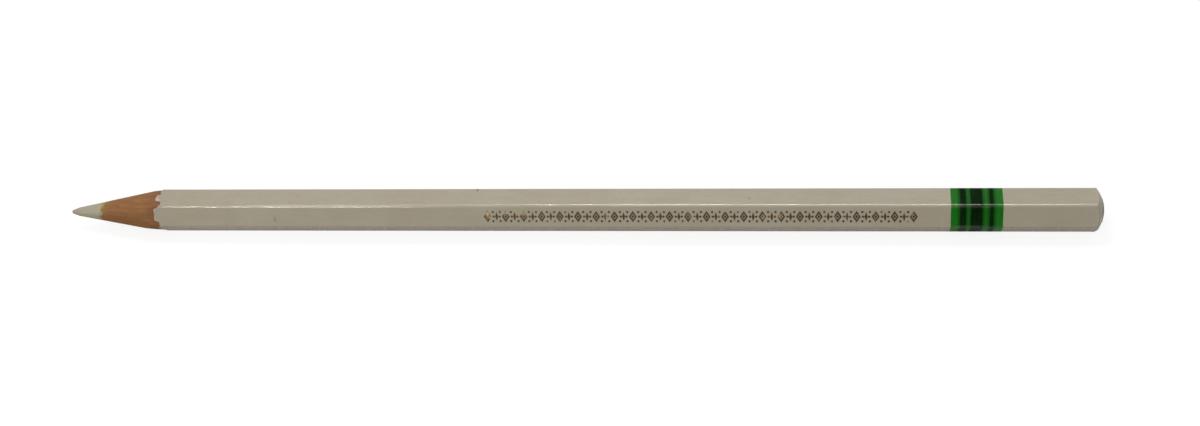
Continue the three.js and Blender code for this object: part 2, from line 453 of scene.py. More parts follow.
@node_group("Wood Grain")
def wood_grain(bench, place=ARROW, ring_width=0.8, lean=0.4, board=0.0):
    """Rings of a straight-grained board that runs along the pencil, with fibres and pores."""
    x, y, z = bench.split(place)
    across = y * bench.math("COSINE", lean) + z * bench.math("SINE", lean)
    warp = bench.grain(bench.join(x * 0.045 + board, y * 0.3, z * 0.3), 1.0, 3.0, 0.55) * 1.6
    wander = bench.grain(bench.join(x * 0.35 + board, y * 1.4, z * 1.4), 1.0, 2.0) * 0.35
    ring = bench.math("FRACT", (across + warp + wander) / ring_width + board)
    late_wood = bench.ramp(ring, 0.25, 0.92) * bench.ramp(ring, 0.93, 1.0, 1.0, 0.0)
    fibre = bench.grain(bench.join(x * 0.55 + board, y * 9.0, z * 9.0), 1.0, 5.0, 0.62)
    cloud = bench.grain(bench.join(x * 0.16, y * 2.6 + board, z * 2.6), 1.0, 3.0, 0.6)
    distance, chances = bench.cells(bench.join(x * 0.8, y * 8.0 + board, z * 8.0), 1.0)
    dash = bench.ramp(distance, 0.1, 0.24, 1.0, 0.0)
    return {
        "Late Wood": late_wood,
        "Fibre": bench.ramp(fibre, 0.3, 0.7),
        "Pores": dash * bench.math("LESS_THAN", chances[0], 0.4),
        "Cloud": bench.ramp(cloud, 0.3, 0.7),
    }


@node_group("Cutter Marks")
def cutter_marks(bench, place=ARROW, pitch=0.14):
    """Fine rings that the sharpener leaves across the cut, broken round the point."""
    x, y, z = bench.split(place)
    rings = bench.grain(bench.join(x / pitch, y * 0.5, z * 0.5), 1.0, 2.0)
    bands = bench.grain(bench.join(x * 0.9, y * 0.8, z * 0.8), 1.0, 3.0)
    return {"Height": rings * bench.ramp(bands, 0.35, 0.65, 0.25, 1.0)}


@node_group("Ink Film")
def ink_film(bench, place=ARROW, streak_width=0.25, cover=0.8):
    """How densely a printed film covers, with fine streaks round the pencil and pinholes."""
    x, y, z = bench.split(place)
    streaks = bench.grain(bench.join(x / streak_width, y * 0.25, z * 0.25), 1.0, 2.0)
    patches = bench.grain(place, 0.7, 4.0, 0.6)
    uneven = bench.ramp(streaks * 0.55 + patches * 0.45, 0.34, 0.66)
    distance, chances = bench.cells(place, 2.6)
    hole = bench.ramp(distance, 0.05, 0.11, 1.0, 0.0)
    return {
        "Density": bench.mix(cover, uneven, 1.0),
        "Pinholes": hole * bench.math("LESS_THAN", chances[2], 0.16),
    }


@node_group("Dragged Wax")
def dragged_wax(bench, place=ARROW, start=6.0, end=5.2):
    """Wax that the sharpener dragged from the core over the glue and the wood: the lower front."""
    _, y, z = bench.split(place)
    facing = y * -0.76 - z * 0.65
    front = bench.group(ragged_ramp, place=place, start=start, end=end, ragged=0.25)
    return {
        "Mask": front["Mask"] * bench.ramp(facing, -0.5, 0.9),
        # The lower front faces away from the light: the wood takes painted shade there
        "Lower Front": bench.ramp(facing, -0.3, 1.0),
    }


@node_group("Smudge")
def smudge(bench, place=ARROW, middle=ARROW, half_length=0.5, half_width=0.5):
    """One soft, ragged spot: a touch of dirt or a nick in the paint."""
    x, y, z = bench.split(place)
    x0, y0, z0 = bench.split(middle)
    along, across, up = (x - x0) / half_length, (y - y0) / half_width, (z - z0) / half_width
    apart = bench.math("SQRT", along * along + across * across + up * up)
    ragged = bench.grain(place, 2.2, 4.0, 0.65) * 1.1
    return {"Mask": bench.ramp(apart + ragged, 0.75, 1.45, 1.0, 0.0)}


# Marks in the lacquer: middle as station, across and up from the axis, half its length along the
# pencil, half its width, and strength, all but the last in millimetres
MARKS = (
    ((37.5, -3.11, 1.22), 0.6, 0.9, 0.3),
    ((72.3, 1.6, 3.3), 0.35, 0.4, 0.9),
    ((118.0, -0.4, 3.3), 0.5, 0.5, 0.25),
    ((57.0, -2.6, -2.0), 0.8, 0.5, 0.35),
    ((96.0, 3.0, 1.4), 0.6, 0.7, 0.4),
)


# Materials


def clear_bench(owner):
    """A bench on the emptied node tree of a material or a world."""
    owner.use_nodes = True
    owner.node_tree.nodes.clear()
    return Bench(owner.node_tree)


class Finish:
    """A material in the making. Its base colour takes one tint after another.

    Its place is the pencil's own coordinates in millimetres.
    """

    def __init__(self, name, sizes, base, specular, coat=0.0, coat_roughness=0.03):
        self.material = bpy.data.materials.new(name)
        self.bench = clear_bench(self.material)
        self.base = base
        self.shader = self.bench.add(
            "ShaderNodeBsdfPrincipled",
            {"Specular IOR Level": specular, "Coat Weight": coat, "Coat Roughness": coat_roughness},
        )
        where = self.bench.add("ShaderNodeTexCoord")
        self.place = self.bench.made(
            "ShaderNodeMapping",
            {
                "Vector": self.bench.out(where, "Object"),
                "Location": (-sizes.tip_x / MM, 0.0, -sizes.axis_height / MM),
                "Scale": (1 / MM, 1 / MM, 1 / MM),
            },
        )

    def effect(self, tree, **inputs):
        return self.bench.group(tree, place=self.place, **inputs)

    def mask(self, tree, **inputs):
        return self.effect(tree, **inputs)["Mask"]

    def tint(self, share, colour):
        self.base = self.bench.blend(share, self.base, colour)

    def done(self, roughness, height, relief, **others):
        """The material, with the height as a bump as deep as the relief."""
        bump = self.bench.add("ShaderNodeBump", {"Height": height, "Distance": relief, "Strength": 1.0})
        inputs = {
            "Base Color": self.base,
            "Roughness": roughness,
            "Normal": self.bench.out(bump, "Normal"),
            **{title(name): value for name, value in others.items()},
        }
        for name, value in inputs.items():
            self.bench.feed(self.shader.inputs[name], value)
        self.bench.add("ShaderNodeOutputMaterial", {"Surface": self.bench.out(self.shader)})
        return self.material


def white_lacquer(sizes, colours):
    finish = Finish("White lacquer", sizes, colours.lacquer, specular=0.15, coat_roughness=0.1)
    skin = finish.effect(paint_skin, peel_size=1.3, mottle_size=7.0)
    edges = finish.effect(rubbed_edges, patchiness=0.62)
    dust = finish.mask(specks, cell=2.1, speck=0.09, share=0.24)
    grit = finish.mask(specks, cell=0.9, speck=0.035, share=0.12)
    lines = finish.mask(scuffs, length=7.0, width=0.05, share=0.42)
    handled = finish.mask(ragged_ramp, start=22.0, end=16.6, ragged=1.6)
    dirt, smudged, scratched = screen(74, 66, 52), screen(106, 98, 84), screen(214, 208, 194)
    rubbed = edges["Mask"] * 0.09 + handled * 0.08
    marks = dust * 0.5 + grit * 0.35
    finish.tint(skin["Mottle"], colours.lacquer_warm)
    finish.tint(rubbed, colours.grime)
    finish.tint(marks, dirt)
    for middle, half_length, half_width, strength in MARKS:
        mark = finish.mask(smudge, middle=middle, half_length=half_length, half_width=half_width)
        finish.tint(mark * strength, smudged)
    finish.tint(lines * 0.16, scratched)
    return finish.done(
        roughness=skin["Haze"] * 0.12 + lines * 0.2 + rubbed + 0.24,
        height=skin["Peel"] - lines * 0.25 + marks * 0.4,
        relief=0.006 * MM,
        coat_weight=edges["Edge"] * (1.0 - handled) * 0.5 + 0.15,
    )


def pale_primer(sizes, colours):
    finish = Finish("Pale primer", sizes, colours.primer, specular=0.2)
    skin = finish.effect(paint_skin, peel_size=0.25, mottle_size=1.1)
    grit = finish.mask(specks, cell=0.35, speck=0.05, share=0.3)
    wood_below, chalk = screen(178, 150, 134), screen(226, 214, 204)
    finish.tint(skin["Mottle"], wood_below)
    finish.tint(grit * 0.5, chalk)
    return finish.done(
        roughness=skin["Haze"] * 0.2 + 0.55,
        height=skin["Peel"] + grit * 0.5,
        relief=0.012 * MM,
    )


def bare_wood(sizes, colours, name, lean, board):
    finish = Finish(name, sizes, colours.wood_light, specular=0.25)
    grain = finish.effect(wood_grain, ring_width=0.8, lean=lean, board=board)
    late, fibre, pores, cloud = (grain[part] for part in ("Late Wood", "Fibre", "Pores", "Cloud"))
    cut = finish.effect(cutter_marks, pitch=0.16)["Height"]
    stain = finish.mask(ragged_ramp, start=7.9, end=6.4, ragged=0.5)
    # Painted shade: the wood turns darker towards the paint edge, which shades it
    soil = finish.mask(ragged_ramp, start=13.8, end=16.6, ragged=0.8)
    dust = finish.mask(specks, cell=0.6, speck=0.05, share=0.2)
    wax = finish.effect(dragged_wax, start=6.1, end=5.2)
    fibres, red_wood, yellow_wood = screen(150, 102, 60), screen(138, 80, 46), screen(152, 114, 46)
    deep_pore, shade, glue_stain = screen(84, 50, 30), screen(122, 74, 34), screen(138, 110, 52)
    finger_soil, pale_dust = screen(106, 66, 38), screen(214, 200, 172)
    finish.tint(late * 0.62, colours.wood_dark)
    finish.tint(fibre * 0.45, fibres)
    finish.tint(cloud * 0.5, red_wood)
    finish.tint((1.0 - cloud) * 0.3, yellow_wood)
    finish.tint(pores * 0.55, deep_pore)
    # Painted shade: the lower front of the cut wood is darkened, as it faces away from the light
    finish.tint(wax["Lower Front"] * 0.3, shade)
    finish.tint(stain * (1.0 - wax["Lower Front"] * 0.75) * 0.72, glue_stain)
    finish.tint(soil * 0.38, finger_soil)
    finish.tint(wax["Mask"] * 0.9, colours.core)
    finish.tint(dust * 0.35, pale_dust)
    return finish.done(
        roughness=fibre * 0.14 + late * -0.08 + 0.62,
        height=late * 0.45 + fibre * 0.6 - pores * 0.9 + cut * 0.5,
        relief=0.02 * MM,
    )


def core_wax(sizes, colours):
    finish = Finish("White core", sizes, colours.core, specular=0.25, coat=0.1, coat_roughness=0.35)
    skin = finish.effect(paint_skin, peel_size=0.45, mottle_size=1.6)
    cut = finish.effect(cutter_marks, pitch=0.11)["Height"]
    lines = finish.mask(scuffs, length=1.6, width=0.05, share=0.6)
    grit = finish.mask(specks, cell=0.4, speck=0.035, share=0.25)
    soaked = finish.mask(ragged_ramp, start=4.9, end=6.5, ragged=0.3)
    rim = finish.mask(ragged_ramp, start=5.35, end=6.1, ragged=0.16)
    touched = finish.mask(ragged_ramp, start=2.4, end=0.2, ragged=0.6)
    yellow_wax, brown_rim = screen(196, 182, 128), screen(158, 128, 74)
    finish.tint(skin["Mottle"], screen(166, 160, 138))
    finish.tint(soaked * 0.8, yellow_wax)
    finish.tint(rim * 0.85, brown_rim)
    finish.tint(touched * 0.45, screen(140, 134, 116))
    finish.tint(lines * 0.3, screen(146, 138, 118))
    finish.tint(grit * 0.4, screen(120, 108, 84))
    return finish.done(
        roughness=skin["Haze"] * 0.18 + 0.42,
        height=cut * 0.8 + skin["Peel"] * 0.6 - lines * 0.5,
        relief=0.012 * MM,
    )


def dried_glue(sizes, colours):
    finish = Finish("Dried glue", sizes, colours.glue, specular=0.2, coat=0.08, coat_roughness=0.3)
    skin = finish.effect(paint_skin, peel_size=0.3, mottle_size=0.6)
    wax = finish.mask(dragged_wax, start=6.6, end=5.6)
    finish.tint(skin["Mottle"], screen(116, 84, 42))
    finish.tint(wax * 0.8, colours.core)
    return finish.done(
        roughness=skin["Haze"] * 0.25 + 0.35,
        height=skin["Peel"],
        relief=0.02 * MM,
    )


def near_stripes(finish, stripes, full, none):
    """1 inside the stripes, falling to 0 between two distances from their borders."""
    bench = finish.bench
    x, _, _ = bench.split(finish.place)
    ragged = bench.grain(finish.place, 1.6, 3.0, 0.6) * 0.24 - 0.12
    near = 0.0
    for low, high in stripes:
        half = (high - low) / 2
        apart = bench.math("ABSOLUTE", x - (low + high) / 2) + ragged
        near = bench.math("MAXIMUM", bench.ramp(apart, half + full, half + none, 1.0, 0.0), near)
    return near


def printed_ink(sizes, colours, name, ink, thin, streak, cover, gloss, stripes=(), shaded=()):
    """A printed film: ink where it covers well, thin where it lets the coat below show.

    Towards the borders of its stripes the ink turns thin. Round the shaded ones it is darker.
    """
    finish = Finish(name, sizes, thin, specular=gloss, coat_roughness=0.1)
    skin = finish.effect(paint_skin, peel_size=1.3, mottle_size=3.0)
    film = finish.effect(ink_film, streak_width=streak, cover=cover)
    edges = finish.effect(rubbed_edges, patchiness=0.75)
    lines = finish.mask(scuffs, length=4.0, width=0.05, share=0.45)
    density = film["Density"]
    if stripes:
        density = density * near_stripes(finish, stripes, -0.3, 0.06)
    finish.tint(density, ink)
    if shaded:
        finish.tint(near_stripes(finish, shaded, 0.1, 0.6) * 0.6, screen(8, 62, 10))
    worn = film["Pinholes"] * 0.35 + edges["Mask"] * 0.12 + lines * 0.12
    finish.tint(worn, colours.lacquer)
    sharp_edge = finish.bench.math("POWER", edges["Edge"], 3.0)
    return finish.done(
        roughness=skin["Haze"] * 0.12 + lines * 0.2 + film["Density"] * -0.05 + 0.38,
        height=skin["Peel"] + film["Density"] * 0.3,
        relief=0.006 * MM,
        coat_weight=sharp_edge * 0.42 + 0.02,
    )


def dipped_paint(sizes, name, paint, shade, roughness):
    finish = Finish(name, sizes, paint, specular=0.3, coat=0.2, coat_roughness=0.12)
    skin = finish.effect(paint_skin, peel_size=0.8, mottle_size=2.2)
    dust = finish.mask(specks, cell=0.9, speck=0.06, share=0.3)
    lines = finish.mask(scuffs, length=1.2, width=0.05, share=0.5)
    finish.tint(skin["Mottle"], shade)
    finish.tint(dust * 0.6, screen(92, 84, 70))
    finish.tint(lines * 0.2, screen(150, 142, 124))
    return finish.done(
        roughness=skin["Haze"] * 0.15 + roughness,
        height=skin["Peel"] + dust * 0.5,
        relief=0.012 * MM,
    )


def stamped_foil(sizes, colours):
    # Painted reflection: the dark base stands for dark surroundings mirrored in the foil, and cloudy
    # patches of the light colour are painted glints
    finish = Finish("Stamped foil", sizes, colours.foil_dark, specular=0.5)
    film = finish.effect(ink_film, streak_width=0.6, cover=0.2)
    lines = finish.mask(scuffs, length=2.0, width=0.06, share=0.6)
    clouds = finish.bench.grain(finish.place, 0.75, 3.0, 0.7)
    glints = finish.bench.ramp(clouds, 0.56, 0.68)
    finish.tint(glints, colours.foil_light)
    finish.tint(film["Density"] * 0.5, screen(72, 57, 38))
    finish.tint(film["Pinholes"] * 0.8, colours.lacquer)
    return finish.done(
        roughness=0.42 - glints * 0.14 + lines * 0.25,
        height=film["Density"],
        relief=0.006 * MM,
        metallic=0.75 - film["Pinholes"] * 0.7,
    )


def floor_finish(colours):
    """A pale floor. Seen directly or in a reflection it turns to white, but keeps the shadow."""
    material = bpy.data.materials.new("Pale floor")
    bench = clear_bench(material)
    path = bench.add("ShaderNodeLightPath")

    def lit_white(albedo, strength):
        """White in full light: the albedo keeps the shadow, and the strength fills up the rest."""
        matt = bench.made("ShaderNodeBsdfDiffuse", {"Color": (albedo, albedo, albedo)})
        glow = bench.made("ShaderNodeEmission", {"Color": WHITE, "Strength": strength})
        return bench.made("ShaderNodeAddShader", {0: matt, 1: glow})

    seen = bench.math(
        "MAXIMUM", bench.out(path, "Is Camera Ray"), bench.out(path, "Is Transmission Ray")
    )
    plain = bench.made("ShaderNodeBsdfDiffuse", {"Color": colours.floor})
    mirrored = {0: bench.out(path, "Is Glossy Ray"), 1: plain, 2: lit_white(0.95, 0.08)}
    below = bench.made("ShaderNodeMixShader", mirrored)
    both = bench.made("ShaderNodeMixShader", {0: seen, 1: below, 2: lit_white(0.24, 0.84)})
    bench.add("ShaderNodeOutputMaterial", {"Surface": both})
    return material


# Shapes of the pencil, as functions of the angle round it and the station from its tip

PAST_CUT = 17.2 * MM


def full_turn(columns):
    return np.linspace(0, 2 * math.pi, columns, endpoint=False)


def buried(sizes):
    """How deep under the top of the dome the bare wood and the core end."""
    return sizes.dip_coat + sizes.spot_coat


def hexagon_reach(sizes, angle, depth):
    """How far the hexagon with its rounded edges reaches from the axis, under the lacquer."""
    swing = np.abs((angle + TWELFTH) % SIXTH - TWELFTH)
    centre = (sizes.across_flats / 2 - sizes.edge_radius) / COS_30
    arc = sizes.edge_radius - depth
    tangent = np.arctan2(arc / 2, centre + arc * COS_30)
    chord = np.sqrt(np.maximum(arc**2 - (centre * np.sin(swing)) ** 2, 0.0))
    on_flat = (sizes.across_flats / 2 - depth) / np.cos(TWELFTH - swing)
    return np.where(swing > tangent, on_flat, centre * np.cos(swing) + chord)


def edge_reach(sizes):
    return (sizes.across_flats / 2 - sizes.edge_radius) / COS_30 + sizes.edge_radius


def cut_slope(sizes):
    return math.tan(sizes.point_angle / 2)


def cut_radius(sizes, station):
    """Radius of the sharpened cone round its own axis, past the worn nose."""
    return edge_reach(sizes) - (sizes.point_length - station) * cut_slope(sizes)


def lean_at(sizes, station):
    """How far the cone's axis is off the pencil's, across and upwards."""
    lean = sizes.point_lean * np.clip(1 - station / sizes.cut_end, 0.0, 1.0)
    return lean * math.cos(sizes.lean_turn), lean * math.sin(sizes.lean_turn)


def cone_reach(sizes, angle, station):
    """How far the leaning cone reaches from the axis of the pencil."""
    across, up = lean_at(sizes, station)
    along = across * np.cos(angle) + up * np.sin(angle)
    aside = across * np.sin(angle) - up * np.cos(angle)
    return along + np.sqrt(np.maximum(cut_radius(sizes, station) ** 2 - aside**2, 0.0))


def cone_station(sizes, angle, radius):
    """Where the leaning cone reaches this far from the axis, found step by step."""
    slope = cut_slope(sizes)
    station = sizes.point_length - (edge_reach(sizes) - radius) / slope
    for _ in range(12):
        station = station - (cone_reach(sizes, angle, station) - radius) / slope
    return station


def nose_profile(sizes):
    """Stations and radii of the worn nose: a small ball, and a straight side tangent to it."""
    ball = sizes.tip_radius
    side = float(cut_radius(sizes, sizes.worn_nose))
    reach = math.hypot(sizes.worn_nose - ball, side)
    touch = math.atan2(side, sizes.worn_nose - ball) + math.acos(ball / reach)
    angles = np.linspace(math.pi, touch, 9)
    radii = ball * np.sin(angles)
    radii[0] = 0.0
    return np.append(ball + ball * np.cos(angles), sizes.worn_nose), np.append(radii, side)


def dome_station(sizes, radius, depth):
    """Where a sphere that lies this deep under the top of the dome has this radius."""
    centre = sizes.length - sizes.dome_radius
    return centre + np.sqrt((sizes.dome_radius - depth) ** 2 - radius**2)


def dome_rows(sizes, edge, shares, depth):
    """Rings on such a sphere, each with this share of the edge as its radius."""
    return [(dome_station(sizes, edge * share, depth), edge * share) for share in shares]


def core_side(sizes, angle):
    """The core's radius, very slightly uneven, as it is pressed and glued."""
    waves = 0.014 * np.sin(3 * angle + 0.7) + 0.012 * np.sin(7 * angle + 2.1)
    waves += 0.011 * np.sin(12 * angle + 4.0) + 0.007 * np.sin(23 * angle + 1.3)
    return sizes.core_diameter / 2 + (waves - 0.012) * MM


def glue_side(sizes, angle):
    """The outer radius of the glue round the core, thicker in places."""
    waves = 0.45 * np.sin(2 * angle + 2.6) + 0.35 * np.sin(5 * angle + 0.4)
    waves += 0.3 * np.sin(11 * angle + 3.0)
    return core_side(sizes, angle) + sizes.glue_film * (1.25 + waves)


def wood_side(sizes, angle, station):
    """The casing's outer surface: the cut cone, which runs out softly into the flats."""
    flats = hexagon_reach(sizes, angle, sizes.lacquer_coat + sizes.primer_coat)
    cone = cone_reach(sizes, angle, station)
    soft = 0.035 * MM
    share = np.clip(0.5 + 0.5 * (flats - cone) / soft, 0.0, 1.0)
    return flats * (1 - share) + cone * share - soft * share * (1 - share)


def on_pencil(sizes, angle, station, radius):
    """Points in the frame from angles, stations and radii."""
    angle, station, radius = np.broadcast_arrays(angle, station, radius)
    across, up = radius * np.cos(angle), radius * np.sin(angle)
    return np.stack([sizes.tip_x + station, across, sizes.axis_height + up], axis=-1)


# Meshes


def new_object(name, data):
    """An object in the scene that shows a mesh, a lamp or a camera."""
    made = bpy.data.objects.new(name, data)
    bpy.context.scene.collection.objects.link(made)
    return made


def new_mesh(name, points, faces):
    mesh = bpy.data.meshes.new(name)
    mesh.from_pydata([tuple(point) for point in points], [], faces)
    return mesh


def finish_piece(name, mesh, material, crease=35):
    """A closed piece with its doubles merged, its faces outwards and its sharp edges marked."""
    same_point, no_length = 2e-7, 1e-8
    shape = bmesh.new()
    shape.from_mesh(mesh)
    bmesh.ops.remove_doubles(shape, verts=shape.verts, dist=same_point)
    bmesh.ops.dissolve_degenerate(shape, edges=shape.edges, dist=no_length)
    bmesh.ops.recalc_face_normals(shape, faces=shape.faces)
    if shape.calc_volume(signed=True) < 0:
        bmesh.ops.reverse_faces(shape, faces=shape.faces)
    for face in shape.faces:
        face.smooth = True
    shape.to_mesh(mesh)
    shape.free()
    mesh.set_sharp_from_angle(angle=math.radians(crease))
    mesh.materials.clear()
    mesh.materials.append(material)
    mesh.name = name
    return new_object(name, mesh)


def grid_faces(rows, columns, wrap_rows=False, wrap_columns=True, first=0):
    """Quads over a grid of points that is numbered row by row."""
    faces = []
    for row in range(rows if wrap_rows else rows - 1):
        below = first + row * columns
        above = first + ((row + 1) % rows) * columns
        for column in range(columns if wrap_columns else columns - 1):
            beside = (column + 1) % columns
            faces.append((below + column, below + beside, above + beside, above + column))
    return faces


def rings(sizes, angle, rows):
    """The points of one ring after the other, each from its stations and radii."""
    return np.concatenate([on_pencil(sizes, angle, station, reach) for station, reach in rows])


def capped_piece(name, sizes, angle, rows, material):
    """A solid between its rings, which begin and end on the axis."""
    faces = grid_faces(len(rows), len(angle))
    return finish_piece(name, new_mesh(name, rings(sizes, angle, rows), faces), material)


def stand_for(piece, slot, *nodes):
    """Seats a finished piece on the pencil in place of its plain solids."""
    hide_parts(*nodes)
    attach(piece, "root")


def make_core(sizes, colours):
    columns = 120
    angle = full_turn(columns)
    nose_stations, nose_radii = nose_profile(sizes)
    straight = np.linspace(nose_stations[-2], nose_stations[-1], 12)[1:-1]
    past_glue = 8 * MM
    cut = np.arange(sizes.worn_nose, past_glue, 0.1 * MM)
    stations = np.concatenate([nose_stations[:-1], straight, cut, [21 * MM, 80 * MM]])
    radii = np.where(
        stations < sizes.worn_nose,
        np.interp(stations, nose_stations, nose_radii),
        cut_radius(sizes, stations),
    )
    rubbed_length = 1.5 * MM
    points = []
    for station, radius in zip(stations, radii):
        rubbed = max(0.0, 1 - station / rubbed_length) * (np.sin(angle - 3.6) + 1)
        worn_radius = radius * (1 - 0.08 * rubbed)
        across, up = lean_at(sizes, station)
        across = across + worn_radius * np.cos(angle)
        up = up + worn_radius * np.sin(angle)
        turn = np.arctan2(up, across)
        reach = np.minimum(np.hypot(across, up), core_side(sizes, turn))
        points.append(on_pencil(sizes, turn, station, reach))
    end = dome_rows(sizes, core_side(sizes, angle), (1, 0.75, 0.5, 0.25, 0), buried(sizes))
    points.append(rings(sizes, angle, end))
    rows = len(stations) + len(end)
    mesh = new_mesh("core", np.concatenate(points), grid_faces(rows, columns))
    piece = finish_piece("core", mesh, core_wax(sizes, colours))
    stand_for(piece, "core_wax", "colour_core")


def seam_film(sizes, side, first):
    """The thin film of glue along the seam on one side, from the ring of glue to the dome."""
    half = sizes.glue_film / 2
    root = sizes.core_diameter / 2
    seam = 0.0 if side > 0 else math.pi
    ring = float(cone_station(sizes, seam, glue_side(sizes, seam)))
    cut = np.linspace(ring + 0.05 * MM, PAST_CUT, 70)
    stations = np.concatenate([cut, [40 * MM, 120 * MM]])
    crest = wood_side(sizes, seam, stations) - 0.012 * MM
    profile = [(station, station, top) for station, top in zip(stations, crest)]
    ends = (dome_station(sizes, reach, buried(sizes)) for reach in (crest[-1], root))
    profile.append((*ends, crest[-1]))
    points = []
    for at_top, at_root, top in profile:
        for x, y, z in (
            (at_top, top, half),
            (at_top, top, -half),
            (at_root, root, -half),
            (at_root, root, half),
        ):
            points.append((sizes.tip_x + x, side * y, sizes.axis_height + z))
    last = first + len(points) - 4
    faces = grid_faces(len(profile), 4, first=first)
    faces += [tuple(range(start, start + 4)) for start in (first, last)]
    return points, faces


def make_glue(sizes, colours):
    """The sleeve of glue round the core, and the two thin films along the seam."""
    columns = 180
    angle = full_turn(columns)
    inner, outer = core_side(sizes, angle), glue_side(sizes, angle)
    lip_in = cone_station(sizes, angle, inner)
    lip_out = cone_station(sizes, angle, outer)
    proud = 0.012 * MM
    sunk = 0.004 * MM
    rows = [
        (lip_in + 0.5 * MM, inner - sunk),
        (lip_in, inner + proud * 0.5),
        ((lip_in * 2 + lip_out) / 3, (inner * 2 + outer) / 3 + proud),
        ((lip_in + lip_out * 2) / 3, (inner + outer * 2) / 3 + proud),
        (lip_out, outer + proud * 0.5),
        (lip_out + 0.5 * MM, outer),
        (dome_station(sizes, outer, buried(sizes)), outer),
        (dome_station(sizes, inner, buried(sizes)), inner - sunk),
    ]
    points = list(rings(sizes, angle, rows))
    faces = grid_faces(len(rows), columns, wrap_rows=True)
    for side in (1, -1):
        film_points, film_faces = seam_film(sizes, side, len(points))
        points += film_points
        faces += film_faces
    piece = finish_piece("glue", new_mesh("glue", points, faces), dried_glue(sizes, colours))
    stand_for(piece, "dried_glue", "glue_film")


def cut_relief(angle, station):
    """Small ups and downs of the cut wood, in metres: flutes along the grain and chatter."""
    relief = np.empty(np.broadcast(angle, station).shape)
    for index, (turn, place) in enumerate(np.broadcast(angle, station)):
        y, z = math.cos(turn) * 3, math.sin(turn) * 3
        flutes = noise.noise(Vector((place / MM * 0.12, y * 1.1, z * 1.1)))
        fine = noise.noise(Vector((place / MM * 0.5 + 9, y * 4.5, z * 4.5)))
        relief.flat[index] = (flutes * 0.016 + fine * 0.007) * MM
    return relief


def make_slat(sizes, name, side, material, node):
    """One grooved half of the casing, from the ragged ring of glue to the dome."""
    columns = 150
    half = sizes.glue_film / 2
    under_paint = 15.6 * MM
    angle = np.linspace(0, math.pi, columns) + (0.0 if side > 0 else math.pi)
    bore = glue_side(sizes, angle)
    front = cone_station(sizes, angle, bore)
    cut = np.linspace(0, 1, 84)[:, None]
    stations = front * (1 - cut) + PAST_CUT * cut
    full = wood_side(sizes, angle, sizes.length)
    stations = np.vstack([stations, dome_station(sizes, full, buried(sizes))])
    fade = np.clip((under_paint - stations) / (1.2 * MM), 0, 1)
    fade = fade * np.clip((stations - front) / (0.6 * MM), 0, 1)
    radii = wood_side(sizes, angle, stations) + cut_relief(angle, stations) * fade
    rows = list(zip(stations, radii))
    for share in (0.66, 0.33, 0):
        reach = full * share + bore * (1 - share)
        rows.append((dome_station(sizes, reach, buried(sizes)), reach))
    rows.append((front + 0.4 * MM, bore))
    points = rings(sizes, angle, rows)
    faces = grid_faces(len(rows), columns, wrap_rows=True, wrap_columns=False)
    for start in (0, columns - 1):
        seam = list(range(start, len(points), columns))
        points[seam, 2] = sizes.axis_height + side * half
        faces.append(tuple(seam))
    piece = finish_piece(name, new_mesh(name, points, faces), material, crease=50)
    stand_for(piece, "casing_wood", node)


# Sleeves of paint and ink round the hexagon


@node_group("Hexagon Reach", "GeometryNodeTree")
def hexagon_reach_tree(bench, angle=0.0, across_flats=6.6 * MM, edge_radius=0.5 * MM, depth=0.0):
    """How far the hexagon with its rounded edges reaches from the axis, in one direction."""
    half = across_flats / 2
    swing = bench.math("ABSOLUTE", bench.math("WRAP", angle, TWELFTH, -TWELFTH))
    centre = (half - edge_radius) / COS_30
    arc = edge_radius - depth
    tangent = bench.math("ARCTAN2", arc * 0.5, centre + arc * COS_30)
    lift = centre * bench.math("SINE", swing)
    chord = bench.math("SQRT", bench.math("MAXIMUM", arc * arc - lift * lift, 0.0))
    on_arc = centre * bench.math("COSINE", swing) + chord
    on_flat = (half - depth) / bench.math("COSINE", TWELFTH - swing)
    return {"Reach": on_arc + (on_flat - on_arc) * bench.math("GREATER_THAN", swing, tangent)}


# A blunt tongue of paint on each flat: its middle and half its width in degrees round the pencil,
# and how far the lacquer and its undercoat reach forward there, in millimetres
TONGUES = (
    (90.6, 12.5, -0.1, 0.66),
    (114.0, 7.0, -0.4, -0.35),
    (146.0, 19.5, 0.5, 0.72),
    (209.0, 15.0, 0.5, 0.74),
    (269.0, 18.0, 0.7, 0.92),
    (331.0, 14.0, 0.4, 0.8),
    (28.0, 17.0, 0.66, 0.82),
)


